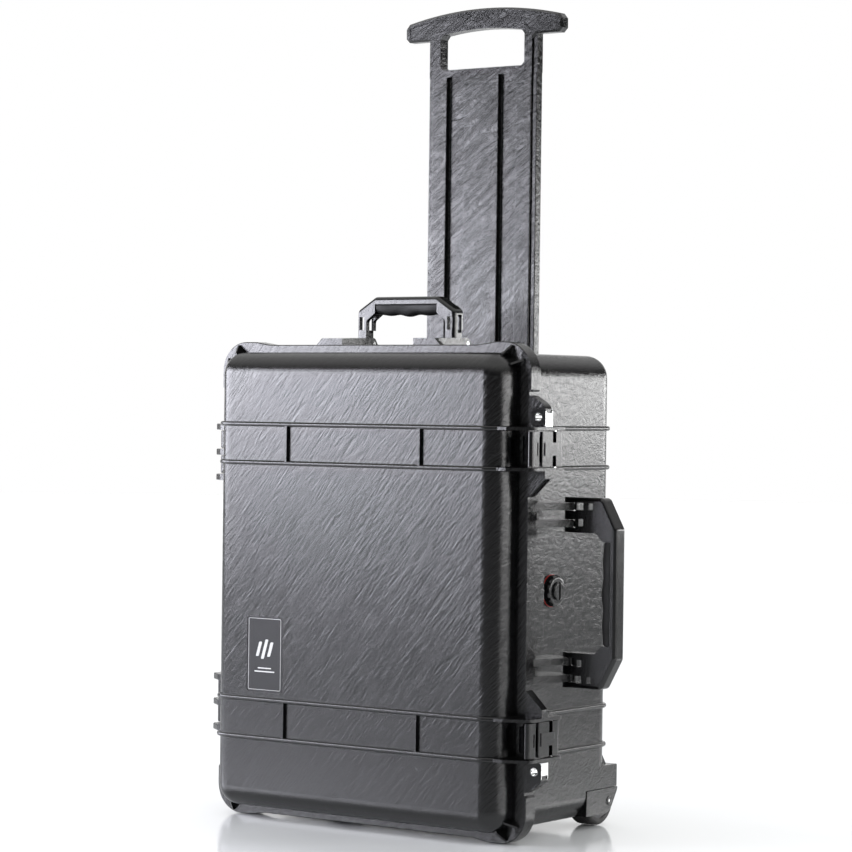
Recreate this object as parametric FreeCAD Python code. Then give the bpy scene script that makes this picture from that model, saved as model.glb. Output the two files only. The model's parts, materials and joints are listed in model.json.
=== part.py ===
"""Hard equipment case with wheels and a pull-up trolley handle, standing on its wheel end.

Millimetres. +Z is up. The case is modelled about its own centre: X runs across the case from
the hinges (-X) to the latches (+X), Y from the lid (-Y) to the back (+Y), with the parting
plane of lid and base at Y = 0, and Z = 0 is the floor. Every finished piece is then moved by
ORIGIN_SHIFT, so that the origin lies under the middle of the whole object's bounding box.
"""
import FreeCAD
import Part
import math
import os

V = FreeCAD.Vector

# ---- driving dimensions -------------------------------------------------------------------
HEIGHT = 561.0            # height of the case body, standing
MID_Z = HEIGHT / 2
SHELL_HALF_WIDTH = 205.0  # outer face of the side walls
SHELL_END_GAP = 12.5      # shell ends lie this far inside the flange ends
LID_DEPTH = 44.0          # parting plane to lid front
BASE_DEPTH = 190.0        # parting plane to base back
WALL = 4.5
CORNER_R = 26.0           # shell corners seen from the front
FACE_R = 24.0             # rounding between a wall and the lid front or base back

FLANGE_HALF_WIDTH = 220.0
FLANGE_PAD = 2.4          # extra width of the corner pads at the sides
FLANGE_END_PAD = 3.4      # extra length of the corner pads at the ends
FLANGE_CORNER_R = 35.0
LID_FLANGE = 11.0
RIM_SLOPE_X = 209.0       # outside this the lid rim's front face slopes back
RIM_SLOPE = math.tan(math.radians(4.5))
BASE_FLANGE = 9.0

RIB_OFFSETS = (138.6, 183.7)   # ribs above and below the middle
RIB_PROUD = 4.0
RIB_HEIGHT = 5.4
DIVIDER_X = 95.8
DIVIDER_WIDTH = 3.0
SEAL_MIDDLE = 8.5         # middle of the seal groove from the inner face of the walls
SEAL_WIDTH = 6.0
SEAL_DEPTH = 5.0
LABEL_X = (-152.5, -99.8)
LABEL_Z = (150.7, 239.0)
LABEL_DEPTH = 0.9

LATCH_OFFSET = sum(RIB_OFFSETS) / 2
GUARD_X = 241.0           # outer face of guards and padlock tabs
GUARD_WALL = 3.4
GUARD_FRONT = -29.0
GUARD_BACK = 33.0
TAB_BASE = 3.0            # thickness of the padlock tabs on the base
HASP_OFFSET = 196.7       # padlock holes above and below the middle
HASP_X = 232.5
HASP_R = 4.2
HASP_IN = 223.5           # inner edge of the steel lining

LATCH_Z = MID_Z + LATCH_OFFSET
LATCH_HALF = 19.4         # half height of a latch, along Z
LATCH_FACE_X = 238.0
LEVER_TIP_Y = -9.0        # end of the lever over the lid
LEVER_SLOT_Y = (11.0, 18.0)
LEVER_BAR_HALF = 7.3      # half height of the raised bar on the lever
LEVER_PIVOT = (229.0, 27.0)
HOOK_PIVOT = (227.5, -3.0)
LEVER_PIN_R = 2.5
PIN_BITE = 1.0            # how far the lever's pin runs past the middle of each guard wall
HOOK_PIN_R = 1.8
RUNNING_GAP = 0.06        # radial clearance of every turning pin

HINGE_AXIS = (-224.0, 0.0)
HINGE_R = 7.0
HINGE_PIN_R = 2.5
HINGE_OFFSET = 149.3      # middle of each hinge from the middle of the case
HINGE_PITCH = 30.0
HINGE_FIN = 7.5

SIDE_PIVOT = (233.0, 60.0)
SIDE_REACH = 65.5
SIDE_HALF = 107.0
SIDE_ARM = 39.5
SIDE_SLOPE = (18.5, 34.0) # sloping corner of the handle: along its reach, along its width
SIDE_BAND = 8.0
SIDE_GRIP_HALF = 58.0
SIDE_FINS = (77.5, 96.5)  # bracket fins from the middle
FIN_WIDTH = 8.0
TOP_PIVOT = (64.0, 560.0)  # Y, Z
TOP_REACH = 55.5
TOP_HALF = 71.0
TOP_ARM = 13.5
TOP_SLOPE = (16.0, 26.0)
TOP_BAND = 8.5
TOP_GRIP_HALF = 45.0
TOP_CHEEKS = ((51.5, 56.9), (71.6, 84.0))   # bracket cheeks beside each leg, along X
TOP_BLOCK_Z = 565.6
HANDLE_THICK = 19.5
HANDLE_FRONT = -10.0      # front face of a carry handle from its pivot
HANDLE_PIN_R = 3.0
HANDLE_LUG_R = 8.6
GRIP_DEPTH = 14.5
ARM_SKIN = 6.0            # the arms of the side handle are cored out behind this skin
GRIP_WAVES = 3

VALVE_Y = 61.0
VALVE_R = 18.0

WHEEL_R = 30.0
WHEEL_Y = 187.0
WHEEL_X0 = 166.0
WHEEL_X1 = 194.0
AXLE_R = 4.0
HOUSING_X0 = 148.0
HOUSING_Y0 = 139.0
HOUSING_Y1 = 206.0
HOUSING_TOP = 71.5
COVER_TOP = 45.0

TROLLEY_FRONT = 203.0
TROLLEY_BACK = 217.0
TROLLEY_HALF = 73.0
TROLLEY_STROKE = 410.0
TROLLEY_TOP = 970.3
TROLLEY_BOTTOM = 445.0
GRIP_HALF = 115.5
GRIP_BASE = 893.0
INLAY_DEPTH = 2.4
INLAY_SUNK = 0.7          # the inlay lies this far under the grip's face
INLAY_GAP = 0.6           # groove round the inlay
GUIDE_BOTTOM = 30.0
GUIDE_TOP = 520.0
GUIDE_OUT = 98.0
GUIDE_BACK = 220.0        # rearmost face of the guides
CHANNEL_X = (25.0, 51.5)  # front channels of the panel
RAIL_OUT = 79.5
RAIL_DEPTH = 11.5
GLIDE_Z = (470.0, 499.7)
SCREW_X = 91.0
SCREW_Z = (60.0, 200.0, 340.0, 480.0)

# The object's box runs from the hinge barrels to the side grip, and from the lid ribs to the guides.
ORIGIN_SHIFT = V(-(SIDE_PIVOT[0] + SIDE_REACH + HINGE_AXIS[0] - HINGE_R) / 2,
                 -(GUIDE_BACK - LID_DEPTH - RIB_PROUD) / 2, 0)


# ---- helpers --------------------------------------------------------------------------------
def box(x0, x1, y0, y1, z0, z1):
    return Part.makeBox(x1 - x0, y1 - y0, z1 - z0, V(x0, y0, z0))


def rod(axis, centre, radius, start, end):
    """A cylinder along "x", "y" or "z" from start to end; centre holds the two other axes."""
    a, b = centre
    place = {"x": (V(start, a, b), V(1, 0, 0)),
             "y": (V(a, start, b), V(0, 1, 0)),
             "z": (V(a, b, start), V(0, 0, 1))}[axis]
    return Part.makeCylinder(radius, end - start, place[0], place[1])


def fuse(shapes):
    shapes = list(shapes)
    whole = shapes[0].multiFuse(shapes[1:]) if len(shapes) > 1 else shapes[0]
    return whole.removeSplitter()


def cut(shape, tools):
    tools = list(tools)
    return shape.cut(tools).removeSplitter() if tools else shape


def on_plane(plane, u, v, level):
    return {"xy": V(u, v, level), "xz": V(u, level, v), "yz": V(level, u, v)}[plane]


def outline(points, plane, level):
    """A closed face through (u, v) or (u, v, radius) points, each radius a tangent arc."""
    corners = [(on_plane(plane, p[0], p[1], level), p[2] if len(p) > 2 else 0) for p in points]
    starts, ends, arcs = [], [], []
    for i, (here, radius) in enumerate(corners):
        before = corners[i - 1][0]
        after = corners[(i + 1) % len(corners)][0]
        if not radius:
            starts.append(here)
            ends.append(here)
            arcs.append(None)
            continue
        to_before = (before - here).normalize()
        to_after = (after - here).normalize()
        half = to_before.getAngle(to_after) / 2
        reach = radius / math.tan(half)
        middle = (to_before + to_after).normalize()
        starts.append(here + to_before * reach)
        ends.append(here + to_after * reach)
        arcs.append(here + middle * (radius / math.sin(half) - radius))
    edges = []
    for i, arc in enumerate(arcs):
        if arc:
            edges.append(Part.Arc(starts[i], arc, ends[i]).toShape())
        following = starts[(i + 1) % len(starts)]
        if (following - ends[i]).Length > 1e-6:
            edges.append(Part.makeLine(ends[i], following))
    return Part.Face(Part.Wire(edges))


def prism(points, plane, start, end):
    face = outline(points, plane, start)
    direction = {"xy": V(0, 0, 1), "xz": V(0, 1, 0), "yz": V(1, 0, 0)}[plane]
    solid = face.extrude(direction * (end - start))
    return solid


def edges_at(shape, axis, level, keep=lambda box: True):
    """The edges that lie wholly in the plane axis = level, and pass the keep test."""
    found = []
    for edge in shape.Edges:
        bounds = edge.BoundBox
        low = getattr(bounds, axis.upper() + "Min")
        high = getattr(bounds, axis.upper() + "Max")
        if abs(low - level) < 1e-4 and abs(high - level) < 1e-4 and keep(bounds):
            found.append(edge)
    return found


def round_edges(shape, radius, edges):
    return shape.makeFillet(radius, edges) if edges else shape


def mirror_z(shape):
    return shape.mirror(V(0, 0, MID_Z), V(0, 0, 1))


def mirror_x(shape):
    return shape.mirror(V(0, 0, 0), V(1, 0, 0))


def both_ends(shape):
    return [shape, mirror_z(shape)]


def both_sides(shape):
    return [shape, mirror_x(shape)]


def rounded_block(half_width, z_gap, y_open, y_face, corner_r, face_r):
    """A block open at y_open, its corners rounded, and its rim at y_face rounded over."""
    low, high = sorted((y_open, y_face))
    corners = [(-half_width, z_gap, corner_r), (half_width, z_gap, corner_r),
               (half_width, HEIGHT - z_gap, corner_r), (-half_width, HEIGHT - z_gap, corner_r)]
    block = prism(corners, "xz", low, high)
    return round_edges(block, face_r, edges_at(block, "y", y_face))


# ---- the two moulded halves -------------------------------------------------------------------
def flange_outline():
    """The rim seen from the front: pads at the four corners, slightly lower between them."""
    wide = FLANGE_HALF_WIDTH + FLANGE_PAD
    right = [(150, FLANGE_END_PAD), (172, 0), (wide, 0, FLANGE_CORNER_R), (wide, 53.5),
             (FLANGE_HALF_WIDTH, 56)]
    right += [(x, HEIGHT - z, *rest) for x, z, *rest in reversed(right)]
    left = [(-x, z, *rest) for x, z, *rest in reversed(right)]
    return right + left


def flange(y0, y1, front):
    solid = prism(flange_outline(), "xz", y0, y1)
    return round_edges(solid, 1.2, edges_at(solid, "y", front))


def rib_belt(z, y_rim, y_face):
    """One rib that runs round a half from rim to rim, its outer corners rounded."""
    out = SHELL_HALF_WIDTH + RIB_PROUD
    radius = FACE_R + RIB_PROUD
    points = [(-out, y_rim), (-out, y_face, radius), (out, y_face, radius), (out, y_rim)]
    belt = prism(points, "xy", z - RIB_HEIGHT / 2, z + RIB_HEIGHT / 2)
    outer = [e for level in (z - RIB_HEIGHT / 2, z + RIB_HEIGHT / 2)
             for e in edges_at(belt, "z", level, lambda b: abs(b.YMax - b.YMin) > 1 or
                               abs(b.YMin - y_face) < 0.1)]
    return belt.makeFillet(2.3, outer)


def rib_heights():
    return [MID_Z + side * offset for side in (-1, 1) for offset in RIB_OFFSETS]


def hinge_middles():
    return [MID_Z - HINGE_OFFSET, MID_Z + HINGE_OFFSET]


def lid_fin_heights():
    return [middle + step * HINGE_PITCH for middle in hinge_middles() for step in (-1, 0, 1)]


def base_knuckle_heights():
    return [middle + step * HINGE_PITCH for middle in hinge_middles() for step in (-0.5, 0.5)]


def hinge_arm(side, z, width):
    """A knuckle with its arm to the shell, on the lid (side -1) or on the base (side 1)."""
    x, y = HINGE_AXIS
    arm = prism([(-203, side * 3.5), (-203, side * 27), (-215, side * 23),
                 (x - 6.6, side * 12, 5), (x - HINGE_R, 0), (x, 0), (x + 5, side * 3.5)],
                "xy", z - width / 2, z + width / 2)
    barrel = rod("z", (x, y), HINGE_R, z - width / 2, z + width / 2)
    whole = fuse([arm, barrel])
    round_outer = [e for level in (z - width / 2, z + width / 2)
                   for e in edges_at(whole, "z", level, lambda b: b.XMax < -206)]
    return whole.makeFillet(1.2, round_outer)


def tab_face(x):
    """Height of the lid rim's front face over the parting plane: it falls away outwards."""
    return -LID_FLANGE + max(0.0, x - RIM_SLOPE_X) * RIM_SLOPE


def rim_slope_cut():
    wedge = [(RIM_SLOPE_X, -LID_FLANGE), (260, tab_face(260)), (260, -LID_FLANGE - 5),
             (RIM_SLOPE_X, -LID_FLANGE - 5)]
    return both_sides(prism(wedge, "xy", -5, HEIGHT + 5))


def hasp_tab(y0, y1):
    """Padlock tab above the upper latch."""
    tab = prism([(212, MID_Z + 182), (212, HEIGHT - 60), (223, HEIGHT - 60),
                 (GUARD_X, HEIGHT - 71, 9), (GUARD_X, MID_Z + 182)], "xz", y0, y1)
    hole = rod("y", (HASP_X, MID_Z + HASP_OFFSET), HASP_R + 1.2, y0 - 1, y1 + 1)
    return tab.cut(hole)


def guard_tab(y0, y1):
    """Sloping guard below the upper latch."""
    return prism([(212, 387), (FLANGE_HALF_WIDTH - 1, 387), (GUARD_X, 408, 3),
                  (GUARD_X, MID_Z + 140), (212, MID_Z + 140)], "xz", y0, y1)


def guard_walls(y_near, y_far):
    """The two walls beside the upper latch, from the parting plane to y_far."""
    walls = []
    for offset in RIB_OFFSETS:
        z = MID_Z + offset
        wall = prism([(200, y_near), (200, y_far * 1.5), (212, y_far * 1.5),
                      (GUARD_X, y_far, 8), (GUARD_X, y_near)], "xy",
                     z - GUARD_WALL / 2, z + GUARD_WALL / 2)
        walls.append(wall)
    return walls


def corner_gussets():
    """Thin struts between the lid's round corners and the flange, two at each corner."""
    struts = []
    for angle in (28, 62):
        strut = prism([(CORNER_R - 4, -LID_FLANGE + 1), (CORNER_R - 4, -LID_FLANGE - 14),
                       (CORNER_R + 2, -LID_FLANGE - 13), (39, -LID_FLANGE - 2), (39, -LID_FLANGE + 1)],
                      "xy", -1.2, 1.2)
        strut.rotate(V(0, 0, 0), V(0, 1, 0), -angle)
        strut.translate(V(SHELL_HALF_WIDTH - CORNER_R, 0, HEIGHT - SHELL_END_GAP - CORNER_R))
        struts += both_ends(strut)
    return [side for strut in struts for side in both_sides(strut)]


def lid_shell():
    solid = rounded_block(SHELL_HALF_WIDTH, SHELL_END_GAP, 0, -LID_DEPTH, CORNER_R, FACE_R)
    rim = flange(-LID_FLANGE, 0, -LID_FLANGE)
    belts = [rib_belt(z, -3, -LID_DEPTH - RIB_PROUD) for z in rib_heights()]
    dividers = []
    low, high = RIB_OFFSETS
    for x in (-DIVIDER_X, DIVIDER_X):
        fin = box(x - DIVIDER_WIDTH / 2, x + DIVIDER_WIDTH / 2, -LID_DEPTH - RIB_PROUD + 0.3,
                  -LID_DEPTH + 1, MID_Z + low, MID_Z + high)
        dividers += both_ends(fin)
    tabs = both_ends(hasp_tab(-LID_FLANGE, 0)) + both_ends(guard_tab(-LID_FLANGE, 0))
    rim = cut(fuse([rim] + tabs), rim_slope_cut())
    walls = [end for wall in guard_walls(0, GUARD_FRONT) for end in both_ends(wall)]
    solid = fuse([solid, rim] + belts + dividers + walls + corner_gussets())
    knuckle_room = [box(-240, HINGE_AXIS[0] + HINGE_R + 1.5, -LID_FLANGE - 2, 1,
                        z - 11.8, z + 11.8) for z in base_knuckle_heights()]
    fin_room = [box(-240, HINGE_AXIS[0] + HINGE_R + 1.5, -HINGE_R - 1, 1,
                    z - HINGE_FIN / 2 - 1, z + HINGE_FIN / 2 + 1) for z in lid_fin_heights()]
    solid = cut(solid, knuckle_room + fin_room)
    solid = fuse([solid] + [hinge_arm(-1, z, HINGE_FIN) for z in lid_fin_heights()])
    cavity = rounded_block(SHELL_HALF_WIDTH - WALL, SHELL_END_GAP + WALL, 0, -LID_DEPTH + WALL,
                           CORNER_R - WALL, FACE_R - WALL)
    pin_holes = [rod("z", HINGE_AXIS, HINGE_PIN_R + RUNNING_GAP, z - 40, z + 40)
                 for z in hinge_middles()]
    label = prism(label_outline(), "xz", -LID_DEPTH - 1, -LID_DEPTH + LABEL_DEPTH)
    return cut(solid, [cavity, gasket_groove(), label] + pin_holes)


def label_outline(inset=0.0):
    x0, x1 = LABEL_X
    z0, z1 = LABEL_Z
    return [(x0 + inset, z0 + inset, 3), (x1 - inset, z0 + inset, 3),
            (x1 - inset, z1 - inset, 3), (x0 + inset, z1 - inset, 3)]


def ring(width, y0, y1):
    """A closed ring along the seal line, as wide as given."""
    middle = SHELL_HALF_WIDTH - WALL + SEAL_MIDDLE
    gap = SHELL_END_GAP + WALL - SEAL_MIDDLE
    faces = []
    for side in (1, -1):
        half = middle + side * width / 2
        z = gap - side * width / 2
        radius = CORNER_R + side * width / 2
        faces.append(prism([(-half, z, radius), (half, z, radius), (half, HEIGHT - z, radius),
                            (-half, HEIGHT - z, radius)], "xz", y0, y1))
    return faces[0].cut(faces[1])


def gasket_groove():
    return ring(SEAL_WIDTH, -SEAL_DEPTH, 0)


def gasket():
    return ring(SEAL_WIDTH - 0.4, -SEAL_DEPTH, -1.5)


def base_shell():
    solid = rounded_block(SHELL_HALF_WIDTH, SHELL_END_GAP, 0, BASE_DEPTH, CORNER_R, FACE_R)
    rim = flange(0, BASE_FLANGE, BASE_FLANGE)
    belts = [rib_belt(z, 3, BASE_DEPTH + RIB_PROUD) for z in rib_heights()]
    belts = cut(fuse(belts), [box(-GUIDE_OUT, GUIDE_OUT, BASE_DEPTH, BASE_DEPTH + 10, 0, HEIGHT)])
    latch_side = [hasp_tab(0, TAB_BASE), guard_tab(0, TAB_BASE)] + guard_walls(0, GUARD_BACK)
    latch_side = [s for shape in latch_side for s in both_ends(shape)]
    pad = box(200, FLANGE_HALF_WIDTH - 0.5, 0, 27, 223, 338)
    pad = round_edges(pad, 3, edges_at(pad, "y", 27, lambda b: b.XMax > 210))
    brackets = side_bracket() + top_brackets()
    tongue = ring(3.6, -1.1, 1)
    solid = fuse([solid, rim, belts, pad, tongue] + latch_side + brackets)
    fin_room = [box(-240, HINGE_AXIS[0] + HINGE_R + 1.5, -1.2, BASE_FLANGE + 2,
                    z - HINGE_FIN / 2 - 0.7, z + HINGE_FIN / 2 + 0.7) for z in lid_fin_heights()]
    barrel_room = [box(-240, HINGE_AXIS[0] + HINGE_R + 1.5, -1.2, HINGE_R + 1,
                       z - 11.8, z + 11.8) for z in base_knuckle_heights()]
    solid = cut(solid, fin_room + barrel_room)
    solid = fuse([solid] + [hinge_arm(1, z, 20.8) for z in base_knuckle_heights()])
    cavity = rounded_block(SHELL_HALF_WIDTH - WALL, SHELL_END_GAP + WALL, -2, BASE_DEPTH - WALL,
                           CORNER_R - WALL, FACE_R - WALL)
    wells = both_sides(box(HOUSING_X0 - WALL, 240, HOUSING_Y0 - WALL, 240, 0, HOUSING_TOP + WALL))
    cavity = cut(cavity, wells)
    housing_room = both_sides(box(HOUSING_X0, 240, HOUSING_Y0, 240, 0, HOUSING_TOP))
    hinge_holes = [rod("z", HINGE_AXIS, HINGE_PIN_R, z - 40, z + 40) for z in hinge_middles()]
    latch_holes = both_ends(latch_pin())
    handle_holes = both_ends(rod("z", SIDE_PIVOT, HANDLE_PIN_R, MID_Z + 60, MID_Z + 115))
    handle_holes += both_sides(rod("x", TOP_PIVOT, HANDLE_PIN_R, 44, 90))
    valve_hole = [rod("x", (VALVE_Y, MID_Z), 9.5, 190, 240)]
    screw_holes = [rod("y", spot, 2.0, BASE_DEPTH - 10, BASE_DEPTH + 5) for spot in guide_screws()]
    return cut(solid, [cavity] + housing_room + hinge_holes + latch_holes + handle_holes
               + valve_hole + screw_holes)


def side_bracket():
    """Fins between the flange and the pivot of the side handle."""
    x, y = SIDE_PIVOT
    fins = []
    for offset in SIDE_FINS:
        z0 = MID_Z + offset - FIN_WIDTH / 2
        web = prism([(200, 4), (219.5, 4), (222, 10), (x + 5.5, y - 8), (x, y), (200, y + 14)],
                    "xy", z0, z0 + FIN_WIDTH)
        knuckle = rod("z", (x, y), HANDLE_LUG_R - 0.6, z0, z0 + FIN_WIDTH)
        fins += both_ends(fuse([web, knuckle]))
    return fins


def top_brackets():
    """Front block and two cheeks round each leg of the top handle."""
    y, z = TOP_PIVOT
    pieces = []
    inner, outer = TOP_CHEEKS
    front = prism([(inner[0], 545), (inner[0], TOP_BLOCK_Z), (outer[1] - 3, TOP_BLOCK_Z),
                   (outer[1] + 6, 557), (outer[1] + 6, 545)], "xz", 0, 8)
    pieces += both_sides(front)
    for x0, x1 in TOP_CHEEKS:
        cheek = prism([(4, 545), (4, TOP_BLOCK_Z - 3), (9, TOP_BLOCK_Z), (y, z + 7.5, 6),
                       (y + 16, 545)], "yz", x0, x1)
        pieces += both_sides(cheek)
    return pieces


# ---- small parts of the two halves ------------------------------------------------------------
def hinge_pin(middle):
    length = HINGE_PITCH + HINGE_FIN / 2
    return rod("z", HINGE_AXIS, HINGE_PIN_R, middle - length, middle + length)


def latch_pin():
    low, high = (MID_Z + offset for offset in RIB_OFFSETS)
    return rod("z", LEVER_PIVOT, LEVER_PIN_R, low - PIN_BITE, high + PIN_BITE)


def hasp_plate(face_in, face_out, y_edge):
    """Steel lining of a padlock tab between the heights of its face at HASP_IN and at its outer edge."""
    z0, z1 = MID_Z + RIB_OFFSETS[1] + 2.8, HEIGHT - 73
    outer = GUARD_X + 1
    skin = math.copysign(1.0, face_in - y_edge)
    slab = prism([(HASP_IN, face_in), (outer, face_out), (outer, face_out + skin),
                  (HASP_IN, face_in + skin)], "xy", z0, z1)
    shape = prism([(HASP_IN, z0), (HASP_IN, z1, 4), (outer, z1, 5), (outer, z0)], "xz", -30, 30)
    plate = slab.common(shape)
    low, high = sorted((face_out + skin / 2, y_edge))
    edge = box(GUARD_X, outer, low, high, z0, z1 - 7)
    centre = (HASP_X, MID_Z + HASP_OFFSET)
    eyelet_low, eyelet_high = sorted(((face_in + face_out) / 2, y_edge))
    eyelet = rod("y", centre, HASP_R + 1.2, eyelet_low, eyelet_high)
    hole = rod("y", centre, HASP_R, -30, 30)
    return cut(fuse([plate, edge, eyelet]), [hole])


def lid_hasp():
    return hasp_plate(tab_face(HASP_IN), tab_face(GUARD_X + 1), -0.2)


def base_hasp():
    return hasp_plate(TAB_BASE, TAB_BASE, 0.2)


def valve_body():
    """Pressure valve: a domed cap with a ring of grip notches and a neck through the wall."""
    wall = SHELL_HALF_WIDTH
    centre = (VALVE_Y, MID_Z)
    cap = rod("x", centre, VALVE_R, wall + 1.2, wall + 9)
    cap = round_edges(cap, 4, edges_at(cap, "x", wall + 9))
    crown = rod("x", centre, 10.5, wall + 8, wall + 12)
    crown = round_edges(crown, 2, edges_at(crown, "x", wall + 12))
    neck = rod("x", centre, 9.3, wall - WALL - 8, wall + 2)
    bore = rod("x", centre, 5.0, wall - WALL - 9, wall + 5)
    notches = []
    for step in range(12):
        angle = math.radians(step * 30)
        out = VALVE_R + 0.8
        spot = (VALVE_Y + out * math.cos(angle), MID_Z + out * math.sin(angle))
        notches.append(rod("x", spot, 2.6, wall + 2.2, wall + 10))
    slot = box(wall + 10, wall + 14, VALVE_Y - 1.6, VALVE_Y + 1.6, MID_Z - 14, MID_Z + 14)
    return cut(fuse([cap, crown, neck]), [bore, slot] + notches)


def valve_seal():
    wall = SHELL_HALF_WIDTH
    centre = (VALVE_Y, MID_Z)
    return rod("x", centre, VALVE_R + 0.4, wall, wall + 1.2).cut(rod("x", centre, 9.3, 200, 220))


def valve_membrane():
    return rod("x", (VALVE_Y, MID_Z), 5.0, SHELL_HALF_WIDTH - 2, SHELL_HALF_WIDTH - 1)


def valve_nut():
    inner = SHELL_HALF_WIDTH - WALL
    turns = [math.radians(60 * i) for i in range(6)]
    corners = [(VALVE_Y + 15 * math.cos(turn), MID_Z + 15 * math.sin(turn)) for turn in turns]
    nut = prism(corners, "yz", inner - 6, inner)
    return nut.cut(rod("x", (VALVE_Y, MID_Z), 9.3, inner - 7, inner + 1))


def label_plate():
    return prism(label_outline(0.5), "xz", -LID_DEPTH + 0.1, -LID_DEPTH + LABEL_DEPTH)


# ---- latches ----------------------------------------------------------------------------------
def latch_lever():
    """The wide lever that turns on the base: an H seen from the side, its foot curled in."""
    z0, z1 = LATCH_Z - LATCH_HALF, LATCH_Z + LATCH_HALF
    px, py = LEVER_PIVOT
    plate = prism([(231.2, LEVER_TIP_Y), (LATCH_FACE_X - 0.6, LEVER_TIP_Y, 1.5), (LATCH_FACE_X, 11),
                   (LATCH_FACE_X, 29, 5), (233.5, 37.5, 3), (225.5, 36, 3), (px - 6, py + 2, 4),
                   (px - 5, py - 7, 4), (231.2, 16)], "xy", z0, z1)
    bar = prism([(LATCH_FACE_X - 2, -6), (LATCH_FACE_X + 0.8, -5, 1), (LATCH_FACE_X + 1.2, 20, 2),
                 (LATCH_FACE_X - 2, 27)], "xy", LATCH_Z - LEVER_BAR_HALF, LATCH_Z + LEVER_BAR_HALF)
    hx, hy = HOOK_PIVOT
    lug = fuse([box(hx - 2, 233, hy - 4, hy + 4, LATCH_Z - 6.8, LATCH_Z + 6.8),
                rod("z", HOOK_PIVOT, 4.0, LATCH_Z - 6.8, LATCH_Z + 6.8)])
    solid = fuse([plate, bar, lug])
    slots = [box(228, 242, LEVER_SLOT_Y[0], LEVER_SLOT_Y[1], LATCH_Z + LEVER_BAR_HALF, z1 + 1),
             box(228, 242, LEVER_SLOT_Y[0], LEVER_SLOT_Y[1], z0 - 1, LATCH_Z - LEVER_BAR_HALF)]
    hollow = box(px - 9, 232.4, py + 3.8, py + 8, z0 + 3, z1 - 3)
    holes = [rod("z", LEVER_PIVOT, LEVER_PIN_R + RUNNING_GAP, z0 - 1, z1 + 1),
             rod("z", HOOK_PIVOT, HOOK_PIN_R, z0 - 1, z1 + 1)]
    return cut(solid, slots + [hollow] + holes)


def latch_hook():
    """The catch that turns on the lever: an outer strip, two arms and a claw over the lid rim."""
    z0, z1 = LATCH_Z - LATCH_HALF, LATCH_Z + LATCH_HALF
    hx, hy = HOOK_PIVOT
    strip = prism([(227.5, -25), (232, GUARD_FRONT, 3), (LATCH_FACE_X - 1, GUARD_FRONT, 4),
                   (LATCH_FACE_X, -15, 1.2), (229, -15)], "xy", z0, z1)
    rest = -LID_FLANGE - 0.4
    claw = prism([(215.5, rest), (215.5, rest - 3.8, 1), (222, -22, 3), (229, -25), (231, -16),
                  (223.4, rest)], "xy", LATCH_Z - 14, LATCH_Z + 14)
    arms = []
    for side in (-1, 1):
        low, high = sorted((LATCH_Z + side * 7.4, LATCH_Z + side * 13.5))
        arm = prism([(hx - 3.6, -18), (hx + 0.4, -18), (hx + 0.4, hy), (hx - 3.6, hy)], "xy", low, high)
        arms += [arm, rod("z", HOOK_PIVOT, 3.6, low, high)]
    solid = fuse([strip, claw] + arms)
    notch = box(LATCH_FACE_X - 1.2, LATCH_FACE_X + 1, -19.5, -17.5,
                LATCH_Z - LEVER_BAR_HALF, LATCH_Z + LEVER_BAR_HALF)
    pin_hole = rod("z", HOOK_PIVOT, HOOK_PIN_R + RUNNING_GAP, z0 - 1, z1 + 1)
    return cut(solid, [notch, pin_hole])


def hook_pin():
    return rod("z", HOOK_PIVOT, HOOK_PIN_R, LATCH_Z - 13.5, LATCH_Z + 13.5)


# ---- carry handles ------------------------------------------------------------------------------
# A handle is built with its pivot on the Z axis: X is its reach, Y its thickness, Z its width.
def handle_frame(reach, half, arm, slope, band, grip_half, clear):
    """Two arms and the hard outer band between them; clear is where the bracket fins pass."""
    slope_x, slope_z = slope
    y0, y1 = HANDLE_FRONT, HANDLE_FRONT + HANDLE_THICK
    inner = half - arm
    upper = [(0, half), (reach - slope_x, half, 7), (reach, half - slope_z, 7)]
    inside = [(reach - band, grip_half)]
    if grip_half < inner - 1:
        inside += [(reach - band - GRIP_DEPTH + 4, grip_half, 2),
                   (reach - band - GRIP_DEPTH - 5, inner, 5)]
    inside.append((0, inner))
    outer = upper + [(x, -z, *r) for x, z, *r in reversed(upper)]
    outer += [(x, -z, *r) for x, z, *r in reversed(inside)] + inside
    body = prism(outer, "xz", y0, y1)
    outside = [e for y in (y0, y1) for e in edges_at(body, "y", y)
               if outer_edge(e.BoundBox, reach, half, slope)]
    body = body.makeFillet(4.2, outside)
    corner = cut(box(-20, 12, -30, 30, -200, 200), [rod("z", (0, 0), HANDLE_LUG_R, -200, 200),
                                                    box(0, 13, -30, 30, -200, 200)])
    body = cut(body, [corner])
    lugs = [rod("z", (0, 0), HANDLE_LUG_R, *sorted((side * inner, side * half))) for side in (-1, 1)]
    body = fuse([body] + lugs)
    rooms = []
    for low, high in clear:
        for side in (-1, 1):
            rooms.append(rod("z", (0, 0), 15.5, *sorted((side * low, side * high))))
    pins = rod("z", (0, 0), HANDLE_PIN_R + RUNNING_GAP, -half - 1, half + 1)
    return cut(body, rooms + [pins])


def outer_edge(bounds, reach, half, slope):
    """True for the handle's outer edges beyond the arms: the slopes and the band between them."""
    middle = bounds.Center
    past = (middle.x - reach + slope[0]) / slope[0] + (abs(middle.z) - half + slope[1]) / slope[1]
    return past > 0.55 and bounds.XMax > 15


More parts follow.
